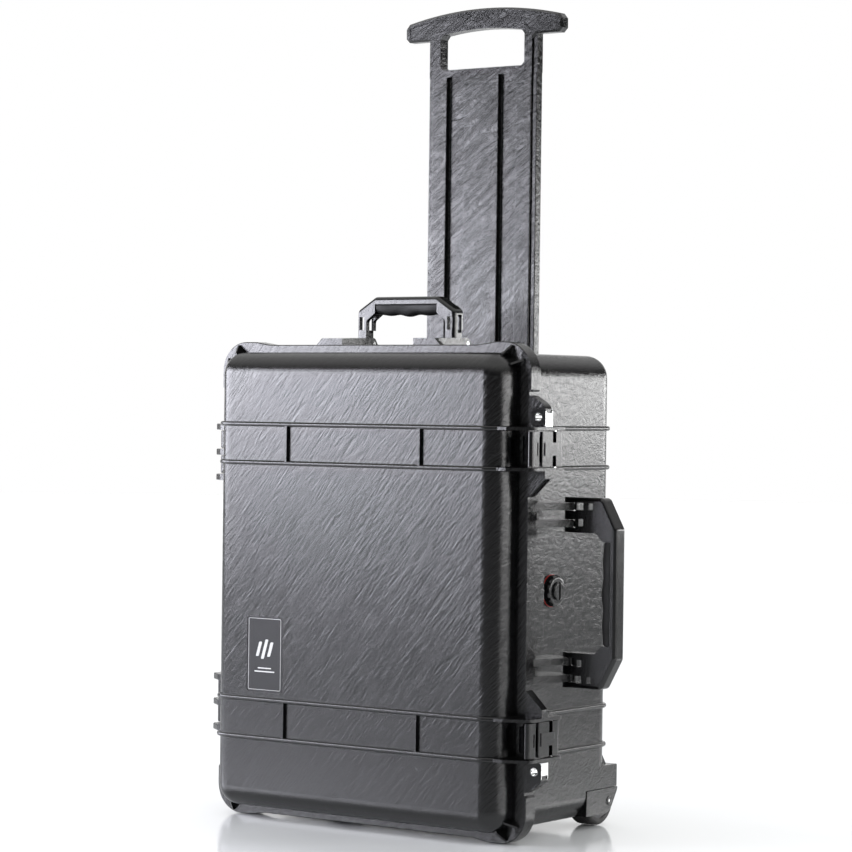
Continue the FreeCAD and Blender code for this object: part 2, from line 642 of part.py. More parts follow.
def handle_grip(reach, inner, band):
    """Soft grip under the band, with finger waves on its inner side."""
    x1 = reach - band
    x0 = x1 - GRIP_DEPTH
    half = inner - 0.2
    crests = Part.BSplineCurve()
    steps = 4 * GRIP_WAVES
    points = []
    for i in range(steps + 1):
        t = -1 + 2 * i / steps
        swell = 1.6 * math.cos(math.pi * t / 2) + 1.1 * math.cos(math.pi * t * GRIP_WAVES) * (1 - t * t)
        points.append(V(x0 + 2.2 - swell, 0, t * (half - 7)))
    crests.interpolate(points)
    first, last = points[0], points[-1]
    edges = [crests.toShape(),
             Part.makeLine(last, V(x1, 0, half)),
             Part.makeLine(V(x1, 0, half), V(x1, 0, -half)),
             Part.makeLine(V(x1, 0, -half), first)]
    face = Part.Face(Part.Wire(edges))
    solid = face.extrude(V(0, HANDLE_THICK - 1.6, 0))
    solid.translate(V(0, HANDLE_FRONT + 0.8, 0))
    rim = [e for e in solid.Edges if e.BoundBox.XMax < x1 - 1 and
           abs(e.BoundBox.YMax - e.BoundBox.YMin) < 0.01 and e.BoundBox.ZLength > 20]
    return solid.makeFillet(5.5, rim)


def to_side(shape):
    moved = shape.copy()
    moved.translate(V(SIDE_PIVOT[0], SIDE_PIVOT[1], MID_Z))
    return moved


def to_top(shape):
    moved = shape.copy()
    moved.rotate(V(0, 0, 0), V(0, 1, 0), -90)
    moved.translate(V(0, TOP_PIVOT[0], TOP_PIVOT[1]))
    return moved


def side_handle_frame():
    clear = [(offset - FIN_WIDTH / 2 - 0.6, offset + FIN_WIDTH / 2 + 0.6) for offset in SIDE_FINS]
    frame = handle_frame(SIDE_REACH, SIDE_HALF, SIDE_ARM, SIDE_SLOPE, SIDE_BAND,
                         SIDE_GRIP_HALF, clear)
    windows = []
    for side in (-1, 1):
        for x0, x1, z0, z1 in ((12, 21, 93, 101), (28, 33.5, 93.5, 100.5), (15, 21, 75, 83)):
            windows.append(box(x0, x1, -30, 30, *sorted((side * z0, side * z1))))
        for z0, z1 in ((71.5, 86.0), (90.0, 103.5)):
            windows.append(box(10, SIDE_REACH - 24, HANDLE_FRONT + ARM_SKIN, 30,
                               *sorted((side * z0, side * z1))))
    return to_side(cut(frame, windows))


def side_handle_grip():
    return to_side(handle_grip(SIDE_REACH, SIDE_GRIP_HALF, SIDE_BAND))


def top_handle_frame():
    frame = handle_frame(TOP_REACH, TOP_HALF, TOP_ARM, TOP_SLOPE, TOP_BAND, TOP_GRIP_HALF, [])
    windows = []
    for side in (-1, 1):
        windows.append(box(16.5, 32, -30, 30, *sorted((side * 60, side * 67.6))))
        windows.append(box(13, 34, HANDLE_FRONT + 6.5, HANDLE_FRONT + 14,
                           *sorted((side * 50, side * 80))))
        relief = box(-20, 16, HANDLE_FRONT + HANDLE_THICK - 5, 30, *sorted((side * 50, side * 80)))
        windows.append(relief.cut(rod("z", (0, 0), HANDLE_LUG_R, -90, 90)))
    return to_top(cut(frame, windows))


def top_handle_grip():
    return to_top(handle_grip(TOP_REACH, TOP_GRIP_HALF, TOP_BAND))


def side_handle_pin():
    return rod("z", SIDE_PIVOT, HANDLE_PIN_R, MID_Z + SIDE_HALF - SIDE_ARM + 0.5,
               MID_Z + SIDE_HALF - 0.5)


def top_handle_pin():
    return rod("x", TOP_PIVOT, HANDLE_PIN_R, TOP_CHEEKS[0][0] + 0.5, TOP_CHEEKS[1][1] - 0.5)


# ---- wheels -------------------------------------------------------------------------------------
def housing_outline(bottom):
    return [(HOUSING_Y0, bottom), (176, bottom - 1.5, 12), (191, 19, 14), (HOUSING_Y1, 42, 8),
            (HOUSING_Y1, HOUSING_TOP, 2), (HOUSING_Y0, HOUSING_TOP)]


def wheel_housing():
    """Moulded fork let into the rear bottom corner, open below and behind the wheel."""
    body = prism(housing_outline(15.5), "yz", HOUSING_X0, SHELL_HALF_WIDTH - 5)
    body = fuse([body, prism([(HOUSING_Y0, COVER_TOP + 0.3), (HOUSING_Y1, COVER_TOP + 0.3, 2),
                              (HOUSING_Y1, HOUSING_TOP, 2), (HOUSING_Y0, HOUSING_TOP)],
                             "yz", HOUSING_X0, SHELL_HALF_WIDTH - 0.5)])
    gusset = prism([(BASE_DEPTH + 0.2, HOUSING_TOP - 1), (199, HOUSING_TOP - 1),
                    (BASE_DEPTH + 0.2, HOUSING_TOP + 11)], "yz", 190, 194)
    body = fuse([body, gusset])
    spot = (WHEEL_Y, WHEEL_R)
    arch = rod("x", spot, WHEEL_R + 3, WHEEL_X0 - 2.5, WHEEL_X1 + 2.5)
    mouth = box(WHEEL_X0 - 2.5, WHEEL_X1 + 2.5, WHEEL_Y - WHEEL_R - 3, WHEEL_Y + WHEEL_R + 3,
                -1, WHEEL_R)
    axle = rod("x", spot, AXLE_R, 140, 210)
    side_room = box(SHELL_HALF_WIDTH - 5, 210, 100, 240, 0, COVER_TOP + 0.3)
    return cut(body, [arch, mouth, axle, side_room])


def wheel_cover():
    """Outer cheek that carries the end of the axle."""
    points = housing_outline(15.5)[:4] + [(HOUSING_Y1, COVER_TOP), (HOUSING_Y0 + 1, COVER_TOP)]
    plate = prism(points, "yz", SHELL_HALF_WIDTH - 5, SHELL_HALF_WIDTH + 1)
    plate = round_edges(plate, 0.8, edges_at(plate, "x", SHELL_HALF_WIDTH + 1))
    return plate.cut(rod("x", (WHEEL_Y, WHEEL_R), AXLE_R, 190, 210))


def wheel_tyre():
    spot = (WHEEL_Y, WHEEL_R)
    tyre = rod("x", spot, WHEEL_R, WHEEL_X0, WHEEL_X1)
    tyre = tyre.makeFillet(5, [e for e in tyre.Edges if e.BoundBox.XLength < 0.01])
    tread = [rod("x", spot, WHEEL_R + 1, x - 0.6, x + 0.6).cut(rod("x", spot, WHEEL_R - 1, 100, 300))
             for x in (WHEEL_X0 + 10, WHEEL_X1 - 10)]
    return cut(tyre, [rod("x", spot, 22.0, WHEEL_X0 - 1, WHEEL_X1 + 1)] + tread)


def wheel_hub():
    spot = (WHEEL_Y, WHEEL_R)
    rim = rod("x", spot, 22.0, WHEEL_X0 + 1, WHEEL_X1 - 1)
    dish = [rod("x", spot, 18.5, WHEEL_X0, WHEEL_X0 + 9), rod("x", spot, 18.5, WHEEL_X1 - 9, WHEEL_X1)]
    core = rod("x", spot, 9.5, WHEEL_X0 + 0.5, WHEEL_X1 - 0.5)
    spokes = []
    for step in range(6):
        spoke = box(WHEEL_X0 + 3, WHEEL_X1 - 3, WHEEL_Y - 1.4, WHEEL_Y + 1.4, WHEEL_R, WHEEL_R + 20)
        spoke.rotate(V(0, WHEEL_Y, WHEEL_R), V(1, 0, 0), step * 60)
        spokes.append(spoke)
    return cut(fuse([cut(rim, dish), core] + spokes), [rod("x", spot, 6.5, 100, 300)])


def wheel_bush():
    spot = (WHEEL_Y, WHEEL_R)
    bush = rod("x", spot, 6.5, WHEEL_X0 - 1, WHEEL_X1 + 1)
    return bush.cut(rod("x", spot, AXLE_R + RUNNING_GAP, 100, 300))


def wheel_axle():
    spot = (WHEEL_Y, WHEEL_R)
    shaft = rod("x", spot, AXLE_R, HOUSING_X0 + 0.5, SHELL_HALF_WIDTH + 1.6)
    return round_edges(shaft, 1.5, edges_at(shaft, "x", SHELL_HALF_WIDTH + 1.6))


# ---- trolley handle -------------------------------------------------------------------------------
def trolley_panel():
    """The long pull-out panel with two wide front channels and a rail down each side."""
    half = TROLLEY_HALF
    front, back = TROLLEY_FRONT, TROLLEY_BACK
    x0, x1 = CHANNEL_X
    rail = back - RAIL_DEPTH
    side = [(half, front, 1.2), (half, rail), (RAIL_OUT, rail, 1), (RAIL_OUT, back, 1),
            (half - 6, back), (half - 6, front + 6), (x1 + 4, front + 6), (x1 + 4, front + 10.5),
            (x0 - 4, front + 10.5), (x0 - 4, front + 4.5)]
    back_edge = side + [(-x, y, *rest) for x, y, *rest in reversed(side)]
    channels = [(-x0, front, 0.8), (-x0 - 1, front + 6, 1), (-x1 + 1, front + 6, 1), (-x1, front, 0.8)]
    front_edge = channels[::-1] + [(-x, y, *rest) for x, y, *rest in channels]
    return prism(back_edge + front_edge, "xy", TROLLEY_BOTTOM, GRIP_BASE - 4)


def grip_outline():
    """Front view of the T grip: arched top, short wings, straight neck."""
    low, high = 935.0, 957.5
    shoulder = GRIP_HALF - 5
    right = [(shoulder, high), (GRIP_HALF, high - 6), (GRIP_HALF, low + 5), (shoulder, low),
             (TROLLEY_HALF + 6, low), (TROLLEY_HALF, low - 6), (TROLLEY_HALF, GRIP_BASE - 4)]
    return arched(right + [(-x, z) for x, z in reversed(right)], TROLLEY_TOP)


def arched(corners, top):
    """A closed wire through the corners, with an arc over the top from the last to the first."""
    spots = [V(x, 0, z) for x, z in corners]
    edges = [Part.Arc(spots[-1], V(0, 0, top), spots[0]).toShape()]
    edges += [Part.makeLine(a, b) for a, b in zip(spots, spots[1:])]
    return Part.Wire(edges)


def grip_window():
    half, low, high = 62.0, 898.0, 941.0
    right = [(half - 4, high), (half, high - 5), (half, low + 4), (half - 4, low)]
    return arched(right + [(-x, z) for x, z in reversed(right)], high + 4.5)


def slab(wire, y0, y1):
    solid = Part.Face(wire).extrude(V(0, y1 - y0, 0))
    solid.translate(V(0, y0, 0))
    return solid


def trolley_grip():
    y0, y1 = TROLLEY_FRONT, TROLLEY_BACK + 2
    body = slab(grip_outline(), y0, y1)
    rim = [e for e in edges_at(body, "y", y0) + edges_at(body, "y", y1) if e.BoundBox.ZMin > 920]
    body = body.makeChamfer(2.6, rim)
    neck_relief = box(-TROLLEY_HALF - 1, TROLLEY_HALF + 1, TROLLEY_BACK, y1 + 1, 880, 896)
    window = slab(grip_window(), y0 - 5, y1 + 5)
    body = cut(body, [window, neck_relief])
    rails = both_sides(box(TROLLEY_HALF - 1, RAIL_OUT, TROLLEY_BACK - RAIL_DEPTH, TROLLEY_BACK,
                           GRIP_BASE - 4, 936))
    return cut(fuse([body] + rails), [grip_inlay_solid(y0 - 1, y0 + INLAY_DEPTH, INLAY_GAP)])


def grip_inlay_solid(y0, y1, grow=0.0):
    """Long inset panel of the grip: arched over the window, with a low wing at each side."""
    low, high, bend = 940.5 - grow, 951.5 + grow, 951.0 - grow
    right = [(108 + grow, high), (107 + grow, low), (70 - grow, low), (61 - grow, bend)]
    left = [(-x, z) for x, z in reversed(right)]
    top = Part.Arc(V(-108 - grow, 0, high), V(0, 0, 964 + grow), V(108 + grow, 0, high)).toShape()
    under = Part.Arc(V(61 - grow, 0, bend), V(0, 0, 955 - grow), V(-61 + grow, 0, bend)).toShape()
    edges = [top, under]
    for chain in (right, left):
        spots = [V(x, 0, z) for x, z in chain]
        edges += [Part.makeLine(a, b) for a, b in zip(spots, spots[1:])]
    return slab(Part.Wire(Part.__sortEdges__(edges)), y0, y1)


def trolley_grip_inlay():
    return grip_inlay_solid(TROLLEY_FRONT + INLAY_SUNK, TROLLEY_FRONT + INLAY_DEPTH)


def trolley_guide():
    """Channel on the base's back that a rail of the panel runs in; wide below, narrow at the top."""
    rail = TROLLEY_BACK - RAIL_DEPTH
    body = prism([(66, BASE_DEPTH), (GUIDE_OUT, BASE_DEPTH), (GUIDE_OUT, GUIDE_BACK - 6, 6),
                  (90, GUIDE_BACK, 2), (74, GUIDE_BACK, 1), (74, TROLLEY_BACK + 0.6),
                  (RAIL_OUT + 0.7, TROLLEY_BACK + 0.6), (RAIL_OUT + 0.7, rail - 0.6),
                  (74, rail - 0.6), (74, 196), (66, 194)], "xy", GUIDE_BOTTOM, GUIDE_TOP)
    lower = box(RAIL_OUT, RAIL_OUT + 4.2, TROLLEY_BACK - 6.6, TROLLEY_BACK + 0.6,
                GUIDE_BOTTOM - 1, GLIDE_Z[1] + 0.5)
    holes = [rod("y", (x, z), 2.6, BASE_DEPTH - 1, 200) for x, z in guide_screws() if x > 0]
    heads = [rod("y", (x, z), 5.0, 199, 225) for x, z in guide_screws() if x > 0]
    return cut(body, [lower] + holes + heads)


def guide_screws():
    return [(x, z) for x in (-SCREW_X, SCREW_X) for z in SCREW_Z]


def guide_screw_set():
    screws = []
    for x, z in guide_screws():
        shank = rod("y", (x, z), 2.0, BASE_DEPTH - 6, 200)
        head = rod("y", (x, z), 4.5, 199, 202.4)
        head = round_edges(head, 1.0, edges_at(head, "y", 202.4))
        socket = box(x - 3.5, x + 3.5, 201, 203, z - 0.6, z + 0.6)
        screws.append(cut(fuse([shank, head]), [socket]))
    return Part.makeCompound(screws)


def trolley_stop():
    """Cross piece under the panel, joining the two guides."""
    return box(-GUIDE_OUT + 4, GUIDE_OUT - 4, BASE_DEPTH, 218, GUIDE_BOTTOM - 8, GUIDE_BOTTOM)


def trolley_glide():
    return box(RAIL_OUT, RAIL_OUT + 3.4, TROLLEY_BACK - 6, TROLLEY_BACK, *GLIDE_Z)


# ---- export ---------------------------------------------------------------------------------------
def pair(name, shape, mirror, first, second):
    return {f"{name}_{first}": shape, f"{name}_{second}": mirror(shape)}


def nodes():
    parts = {"base_shell": base_shell(), "lid_shell": lid_shell(), "lid_gasket": gasket(),
             "label_plate": label_plate(), "valve_body": valve_body(), "valve_seal": valve_seal(),
             "valve_membrane": valve_membrane(), "valve_nut": valve_nut(),
             "side_handle_frame": side_handle_frame(), "side_handle_grip": side_handle_grip(),
             "top_handle_frame": top_handle_frame(), "top_handle_grip": top_handle_grip(),
             "trolley_panel": trolley_panel(), "trolley_grip": trolley_grip(),
             "trolley_grip_inlay": trolley_grip_inlay(), "trolley_stop": trolley_stop(),
             "trolley_guide_screws": guide_screw_set()}
    for name, shape in (("hinge_pin", hinge_pin(hinge_middles()[1])), ("latch_pin", latch_pin()),
                        ("lid_hasp", lid_hasp()), ("base_hasp", base_hasp()),
                        ("latch_lever", latch_lever()), ("latch_hook", latch_hook()),
                        ("latch_hook_pin", hook_pin()), ("side_handle_pin", side_handle_pin())):
        parts.update(pair(name, shape, mirror_z, "upper", "lower"))
    for name, shape in (("top_handle_pin", top_handle_pin()), ("trolley_guide", trolley_guide()),
                        ("trolley_glide", trolley_glide()), ("wheel_housing", wheel_housing()),
                        ("wheel_cover", wheel_cover()), ("wheel_axle", wheel_axle()),
                        ("wheel_tyre", wheel_tyre()), ("wheel_hub", wheel_hub()),
                        ("wheel_bush", wheel_bush())):
        parts.update(pair(name, shape, mirror_x, "right", "left"))
    return parts


os.makedirs("parts", exist_ok=True)
for node, shape in nodes().items():
    shape.translate(ORIGIN_SHIFT)
    shape.exportStep(f"parts/{node}.step")
    solids = len(shape.Solids)
    print(f"{node:24s} solids {solids} valid {shape.isValid()} volume {shape.Volume / 1000:.1f} cm3")
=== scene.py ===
import bmesh
import bpy
import json
import math
from mathutils import Matrix, Vector


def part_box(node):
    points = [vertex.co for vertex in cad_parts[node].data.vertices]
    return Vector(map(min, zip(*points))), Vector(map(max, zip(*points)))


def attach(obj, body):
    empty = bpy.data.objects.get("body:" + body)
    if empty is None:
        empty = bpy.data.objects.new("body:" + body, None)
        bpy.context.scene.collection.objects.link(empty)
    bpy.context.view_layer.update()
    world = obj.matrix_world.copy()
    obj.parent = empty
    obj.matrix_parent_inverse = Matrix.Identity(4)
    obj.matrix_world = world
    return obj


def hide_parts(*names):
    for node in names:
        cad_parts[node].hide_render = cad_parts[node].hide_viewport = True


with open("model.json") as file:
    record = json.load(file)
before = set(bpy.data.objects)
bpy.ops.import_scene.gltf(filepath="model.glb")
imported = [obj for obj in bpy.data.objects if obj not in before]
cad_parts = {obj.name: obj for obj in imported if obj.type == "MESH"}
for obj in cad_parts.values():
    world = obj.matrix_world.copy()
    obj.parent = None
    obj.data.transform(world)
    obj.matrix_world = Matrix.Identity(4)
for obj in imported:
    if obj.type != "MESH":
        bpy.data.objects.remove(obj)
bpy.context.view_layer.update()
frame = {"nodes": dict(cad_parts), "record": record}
NODES = frame["nodes"]
MM = 0.001

# The label plate's box: the printed marks are laid out in it.
LABEL_LOW, LABEL_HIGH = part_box("label_plate")

# The soft grips.
GRIP_ROWS = 260                # sections along a grip
GRIP_ARC = 24                  # steps round the D of a section
GRIP_WAVES = 3                 # fingers
GRIP_SQUARENESS = 0.72         # 1 is a round section, less is squarer
GRIP_BLUNT = 3 * MM            # length of the rounded end
GROOVE_PITCH = 4.2 * MM
GROOVE_DEPTH = 0.35 * MM
GROOVE_FREE = 10 * MM          # plain length at each end

# The painted dark reflection on the steel lining of a lid's padlock tab: a black sheet stands in for the
# dark lid mirrored in the steel.
HASP_SLOPE = math.tan(math.radians(4.5))
HASP_HOLE_IN = 9.5 * MM        # middle of the hole from the outer edge
BARE_RING = 4.7 * MM           # radius left bare round the hole
PAINTED_REFLECTION_REACH = 12.4 * MM         # the painted dark sheet's corners are cut to this radius


# ---- node helpers -----------------------------------------------------------------------------
class Graph:
    """A material's node tree with short calls for the nodes used here."""

    def __init__(self, name):
        self.material = bpy.data.materials.new(name)
        self.material.use_nodes = True
        self.tree = self.material.node_tree
        self.shader = self.tree.nodes["Principled BSDF"]
        self.place = self.node("ShaderNodeTexCoord").outputs["Object"]

    def node(self, kind, **inputs):
        made = self.tree.nodes.new(kind)
        for key, value in inputs.items():
            self.feed(made.inputs[key.replace("_", " ")], value)
        return made

    def feed(self, socket, value):
        if isinstance(value, bpy.types.NodeSocket):
            self.tree.links.new(value, socket)
        else:
            socket.default_value = value

    def mapped(self, rotation=(0, 0, 0), scale=(1, 1, 1)):
        turns = tuple(math.radians(angle) for angle in rotation)
        turned = self.node("ShaderNodeMapping", Vector=self.place, Rotation=turns)
        return self.node("ShaderNodeMapping", Vector=turned.outputs[0], Scale=scale).outputs[0]

    def noise(self, scale, detail=2.0, roughness=0.5, distortion=0.0, place=None):
        made = self.node("ShaderNodeTexNoise", Vector=place or self.place, Scale=scale,
                         Detail=detail, Roughness=roughness, Distortion=distortion)
        return made.outputs["Fac"]

    def spread(self, value, low, high, to_low, to_high):
        made = self.node("ShaderNodeMapRange", Value=value, From_Min=low, From_Max=high,
                         To_Min=to_low, To_Max=to_high)
        return made.outputs[0]

    def maths(self, kind, a, b=0.0):
        made = self.tree.nodes.new("ShaderNodeMath")
        made.operation = kind
        self.feed(made.inputs[0], a)
        self.feed(made.inputs[1], b)
        return made.outputs[0]

    def blend(self, factor, a, b):
        made = self.tree.nodes.new("ShaderNodeMix")
        made.data_type = "RGBA"
        self.feed(made.inputs["Factor"], factor)
        self.feed(made.inputs["A"], a)
        self.feed(made.inputs["B"], b)
        return made.outputs["Result"]

    def bump(self, height, distance, strength=1.0, under=None):
        made = self.node("ShaderNodeBump", Height=height, Distance=distance, Strength=strength)
        if under:
            self.feed(made.inputs["Normal"], under)
        return made.outputs[0]

    def finish(self, colour, roughness, normal=None, **fixed):
        self.feed(self.shader.inputs["Base Color"], colour)
        self.feed(self.shader.inputs["Roughness"], roughness)
        if normal:
            self.feed(self.shader.inputs["Normal"], normal)
        for key, value in fixed.items():
            self.shader.inputs[key.replace("_", " ")].default_value = value
        return self.material


def grey(level, tint=(1.0, 1.0, 1.0)):
    return (level * tint[0], level * tint[1], level * tint[2], 1.0)


# ---- materials --------------------------------------------------------------------------------
COOL = (0.94, 0.96, 1.06)   # the black resin's slight blue cast


def moulded(name, level, gloss, flow, flow_turn, grain=0.00005, curl=1.3, stretch=(26, 110, 210)):
    """Black moulded resin: flow streaks in its sheen, a fine grain, faint scuffs and dust."""
    g = Graph(name)
    along = g.mapped((12, flow_turn, 0), stretch)
    streaks = g.noise(1.0, 6.0, 0.62, curl, along)
    fine = g.noise(2.6, 3.0, 0.6, 0.6, along)
    clouds = g.noise(9.0, 2.0, 0.5)
    pebble = g.noise(2400.0, 1.0)
    speckle = g.noise(480.0, 4.0, 0.7)
    scuffs = g.noise(1.0, 5.0, 0.7, 0.8, g.mapped((0, -38, 0), (30, 90, 420)))
    scratch = g.spread(scuffs, 0.68, 0.74, 0.0, 1.0)
    tone = g.spread(streaks, 0.3, 0.7, 0.8, 1.25)
    cloudy = g.spread(clouds, 0.35, 0.65, 0.0, 1.0)
    base = g.blend(cloudy, grey(level * 0.85, COOL), grey(level * 1.2, COOL))
    colour = g.blend(g.maths("MULTIPLY", scratch, 0.35), base, grey(level * 3.2, COOL))
    shine = g.maths("MULTIPLY", tone, g.spread(speckle, 0.35, 0.65, gloss * 0.86, gloss * 1.16))
    shine = g.maths("ADD", shine, g.maths("MULTIPLY", scratch, 0.08))
    normal = g.bump(streaks, flow)
    normal = g.bump(fine, flow * 0.25, 1.0, normal)
    normal = g.bump(speckle, grain * 0.9, 1.0, normal)
    normal = g.bump(pebble, grain, 1.0, normal)
    return g.finish(colour, shine, normal, Specular_IOR_Level=0.5)


def soft_rubber(name, level):
    """Overmoulded grip rubber: matt, with a fine pebble and a polish where hands rub it."""
    g = Graph(name)
    pebble = g.noise(1500.0, 2.0)
    rubbed = g.spread(g.noise(28.0, 3.0), 0.4, 0.65, 0.5, 0.68)
    colour = g.blend(g.noise(40.0, 3.0), grey(level * 0.8), grey(level * 1.3))
    return g.finish(colour, rubbed, g.bump(pebble, 0.0001), Specular_IOR_Level=0.42)


def steel(name, level, roughness, stretch):
    """Brushed stainless steel with fine lines and light smudges."""
    g = Graph(name)
    lines = g.noise(1.0, 4.0, 0.6, 0.0, g.mapped((0, 0, 0), stretch))
    smudge = g.noise(60.0, 3.0)
    shine = g.maths("ADD", g.spread(lines, 0.3, 0.7, roughness * 0.8, roughness * 1.25),
                    g.spread(smudge, 0.45, 0.7, 0.0, 0.1))
    colour = g.blend(lines, grey(level * 0.85), grey(level * 1.1))
    return g.finish(colour, shine, g.bump(lines, 0.00003), Metallic=1.0)


def tyre_rubber():
    """Hard tyre: dull, greyed by dust on the tread."""
    g = Graph("tyre_rubber")
    dust = g.spread(g.noise(90.0, 5.0, 0.65), 0.45, 0.7, 0.0, 0.6)
    colour = g.blend(dust, grey(0.018), grey(0.075, (1.05, 1.0, 0.94)))
    return g.finish(colour, g.spread(dust, 0.0, 1.0, 0.55, 0.85), g.bump(g.noise(900.0, 3.0), 0.00012))


def label_film():
    """Satin dark film with a faint haze and hairline rubs."""
    g = Graph("label_film")
    rubs = g.noise(1.0, 4.0, 0.6, 0.3, g.mapped((0, 60, 0), (30, 40, 700)))
    haze = g.noise(35.0, 3.0)
    colour = g.blend(haze, grey(0.012, COOL), grey(0.02, COOL))
    return g.finish(colour, g.spread(rubs, 0.4, 0.75, 0.3, 0.46), g.bump(rubs, 0.00001),
                    Specular_IOR_Level=0.3)


def print_ink(name, colour, worn):
    """Screen-printed ink that has thinned a little where it was rubbed."""
    g = Graph(name)
    thin = g.spread(g.noise(600.0, 4.0, 0.7), 0.55, 0.75, 0.0, 0.5)
    return g.finish(g.blend(thin, colour, worn), g.spread(thin, 0.0, 0.5, 0.38, 0.55),
                    g.bump(thin, 0.00001))


def membrane_felt():
    g = Graph("membrane_felt")
    fibres = g.noise(1800.0, 4.0, 0.7)
    return g.finish(g.blend(fibres, grey(0.6), grey(0.85)), 0.9, g.bump(fibres, 0.0001))


def bearing_nylon():
    g = Graph("bearing_nylon")
    stain = g.spread(g.noise(150.0, 3.0), 0.5, 0.75, 0.0, 0.5)
    return g.finish(g.blend(stain, grey(0.68, (1.0, 0.99, 0.93)), grey(0.2)),
                    g.spread(stain, 0.0, 0.5, 0.4, 0.6), g.bump(stain, 0.00003))


def seal_silicone(name, colour, dusty):
    g = Graph(name)
    lint = g.spread(g.noise(700.0, 3.0), 0.55, 0.7, 0.0, 0.4)
    return g.finish(g.blend(lint, colour, dusty), g.spread(lint, 0.0, 0.4, 0.42, 0.6),
                    g.bump(lint, 0.00003))


MATERIALS = {
    "case_plastic": moulded("case_plastic", 0.0018, 0.19, 0.0004, 52),
    "trolley_plastic": moulded("trolley_plastic", 0.0018, 0.19, 0.0008, 38, curl=2.4, stretch=(16, 60, 90)),
    "handle_plastic": moulded("handle_plastic", 0.0014, 0.19, 0.00012, 80),
    "latch_plastic": moulded("latch_plastic", 0.0018, 0.18, 0.0001, 20),
    "black_nylon": moulded("black_nylon", 0.0025, 0.2, 0.0001, 0),
    "wheel_hub": moulded("wheel_hub", 0.022, 0.4, 0.0001, 0),
    "bush": bearing_nylon(),
    "grip_rubber": soft_rubber("grip_rubber", 0.004),
    "seal_rubber": seal_silicone("seal_rubber", grey(0.02), grey(0.06)),
    "red_seal": seal_silicone("red_seal", (0.42, 0.02, 0.015, 1.0), (0.5, 0.12, 0.1, 1.0)),
    "valve_membrane": membrane_felt(),
    "tyre": tyre_rubber(),
    "label": label_film(),
    "hasp_steel": steel("hasp_steel", 0.8, 0.16, (30, 900, 900)),
    "steel_pin": steel("steel_pin", 0.62, 0.22, (300, 300, 1800)),
}
INK = print_ink("ink_white", grey(0.62), grey(0.2))


def dress(piece, material):
    piece.data.materials.clear()
    piece.data.materials.append(material)


for part in frame["record"]["subparts"]:
    dress(NODES[part["node"]], MATERIALS[part["material_slot"]])


# ---- pieces -----------------------------------------------------------------------------------
def piece_from(mesh, name, body, material, smooth=False):
    """Turn a closed mesh into a piece that rides a body."""
    bmesh.ops.recalc_face_normals(mesh, faces=mesh.faces)
    for face in mesh.faces:
        face.smooth = smooth
    data = bpy.data.meshes.new(name)
    mesh.to_mesh(data)
    mesh.free()
    piece = bpy.data.objects.new(name, data)
    bpy.context.scene.collection.objects.link(piece)
    dress(piece, material)
    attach(piece, body)
    return piece


def bridge(mesh, first, second):
    """Faces between two closed rows of corners."""
    count = len(first)
    for i in range(count):
        after = (i + 1) % count
        mesh.faces.new((first[i], first[after], second[after], second[i]))


def rounded_loop(x0, x1, z0, z1, radius):
    """Corners of a rounded rectangle, anticlockwise seen from the front."""
    loop = []
    for x, z, start in ((x1 - radius, z1 - radius, 0), (x0 + radius, z1 - radius, 90),
                        (x0 + radius, z0 + radius, 180), (x1 - radius, z0 + radius, 270)):
        for step in range(7):
            angle = math.radians(start + 15 * step)
            loop.append((x + radius * math.cos(angle), z + radius * math.sin(angle)))
    return loop


def film_band(mesh, outer, inner, front, back):
    """A thin closed band of print between two loops."""
    rows = [[mesh.verts.new((x, y, z)) for x, z in loop]
            for y, loop in ((front, outer), (front, inner), (back, inner), (back, outer))]
    for first, second in zip(rows, rows[1:] + rows[:1]):
        bridge(mesh, first, second)


def film_patch(mesh, loop, front, back):
    """A thin closed patch of print inside a loop."""
    near, far = ([mesh.verts.new((x, y, z)) for x, z in loop] for y in (front, back))
    mesh.faces.new(near)
    mesh.faces.new(far)
    bridge(mesh, near, far)


def leaning(loop, middle, lean):
    return [(x + (z - middle) * lean, z) for x, z in loop]


def label_print():
    """A plain outline, three leaning bars and two rules: marks that stand for nothing."""
    front, back = LABEL_LOW[1] - 0.04 * MM, LABEL_LOW[1] + 0.02 * MM
    x0, x1, z0, z1 = LABEL_LOW[0], LABEL_HIGH[0], LABEL_LOW[2], LABEL_HIGH[2]
    mesh = bmesh.new()
    edges = [rounded_loop(x0 + inset * MM, x1 - inset * MM, z0 + inset * MM, z1 - inset * MM,
                          (3.4 - inset) * MM) for inset in (1.7, 2.2)]
    film_band(mesh, edges[0], edges[1], front, back)
    middle_x, middle_z = (x0 + x1) / 2, (z0 + z1) / 2
    for step, tall in ((-1, 17), (0, 23), (1, 17)):
        x, half = middle_x + step * 8.5 * MM, tall * MM / 2
        bar = rounded_loop(x - 2.2 * MM, x + 2.2 * MM, middle_z + 6 * MM - half,
                           middle_z + 6 * MM + half, 1.2 * MM)
        film_patch(mesh, leaning(bar, middle_z + 6 * MM, 0.3), front, back)
    for low, half in ((21.0, 15.0), (17.0, 10.0)):
        rule = rounded_loop(middle_x - half * MM, middle_x + half * MM, middle_z - low * MM,
                            middle_z - (low - 1.4) * MM, 0.6 * MM)
        film_patch(mesh, rule, front, back)
    piece_from(mesh, "label_marks", "lid", INK)


